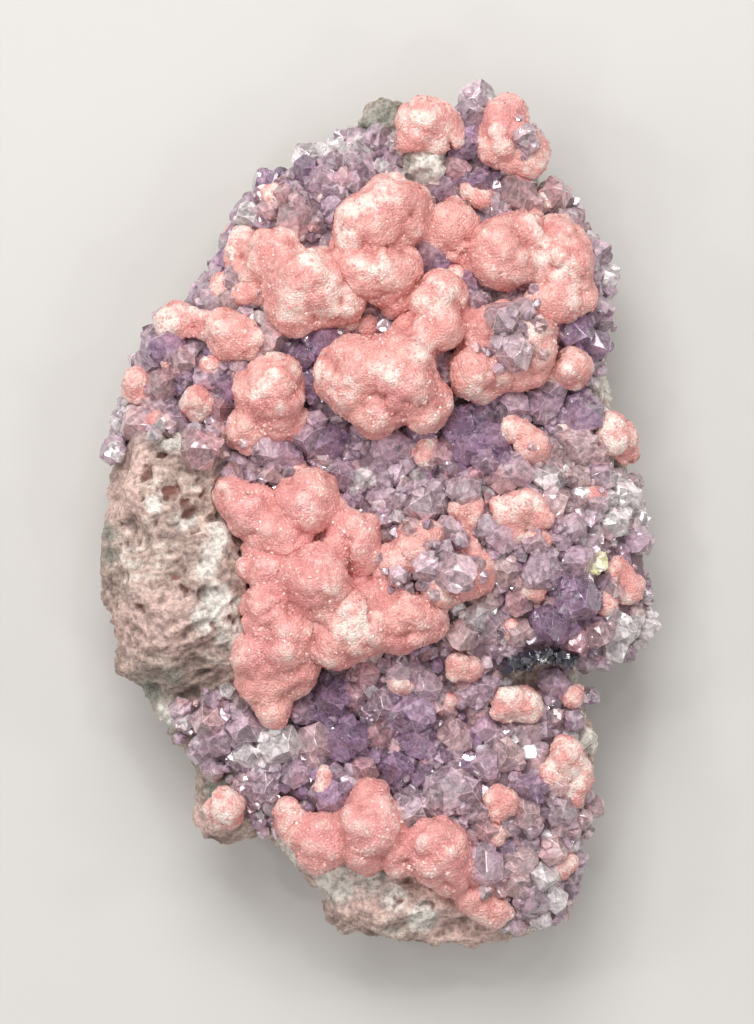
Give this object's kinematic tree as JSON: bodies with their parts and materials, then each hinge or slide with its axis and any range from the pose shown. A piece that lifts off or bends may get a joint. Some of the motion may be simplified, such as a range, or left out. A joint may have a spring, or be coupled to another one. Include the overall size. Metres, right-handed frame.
{
  "type": "rhodochrosite on amethyst mineral specimen",
  "caption": "Cabinet mineral specimen: rounded pink rhodochrosite lumps on a bed of amethyst crystals over pale host rock, lying on its flat back.",
  "frame": {"origin": "under the middle of the specimen, on the surface that its flat back rests on", "axes": "+Z out of the crystal-covered front, +Y to the specimen's top as it is displayed, +X to its right seen from the front"},
  "size_m": [0.0956, 0.1496, 0.0404],
  "materials": {
    "host_rock": "weathered pinkish-grey vein rock, dull",
    "amethyst": "clear lilac to purple quartz crystals with flat bright faces",
    "quartz": "clear pale lilac quartz crystals",
    "rhodochrosite": "salmon-pink botryoidal crust with a sugary frosting",
    "sphalerite": "blue-black crystals with a resinous shine",
    "calcite": "cream-yellow waxy crystals"
  },
  "bodies": {
    "root": {"amethyst_druse": "amethyst", "calcite_fleck": "calcite", "host_rock": "host_rock", "lilac_quartz_centre_right": "quartz", "lilac_quartz_crown": "quartz", "pale_quartz_middle": "quartz", "rhodochrosite_bottom": "rhodochrosite", "rhodochrosite_centre": "rhodochrosite", "rhodochrosite_centre_right": "rhodochrosite", "rhodochrosite_corner_patch": "rhodochrosite", "rhodochrosite_corner_pebble": "rhodochrosite", "rhodochrosite_cream_knot": "rhodochrosite", "rhodochrosite_crown_middle": "rhodochrosite", "rhodochrosite_crown_right": "rhodochrosite", "rhodochrosite_ledge_pebble": "rhodochrosite", "rhodochrosite_left_ball": "rhodochrosite", "rhodochrosite_left_pebble": "rhodochrosite", "rhodochrosite_left_shoulder": "rhodochrosite", "rhodochrosite_lower_left_patch": "rhodochrosite", "rhodochrosite_middle": "rhodochrosite", "rhodochrosite_right_ball": "rhodochrosite", "rhodochrosite_right_bean": "rhodochrosite", "rhodochrosite_right_edge": "rhodochrosite", "rhodochrosite_right_rim": "rhodochrosite", "rhodochrosite_under_pale_crystals": "rhodochrosite", "rhodochrosite_upper_left": "rhodochrosite", "rhodochrosite_upper_middle": "rhodochrosite", "rhodochrosite_upper_right": "rhodochrosite", "rhodochrosite_white_ledge": "rhodochrosite", "sphalerite_seam": "sphalerite"}
  },
  "joints": []
}
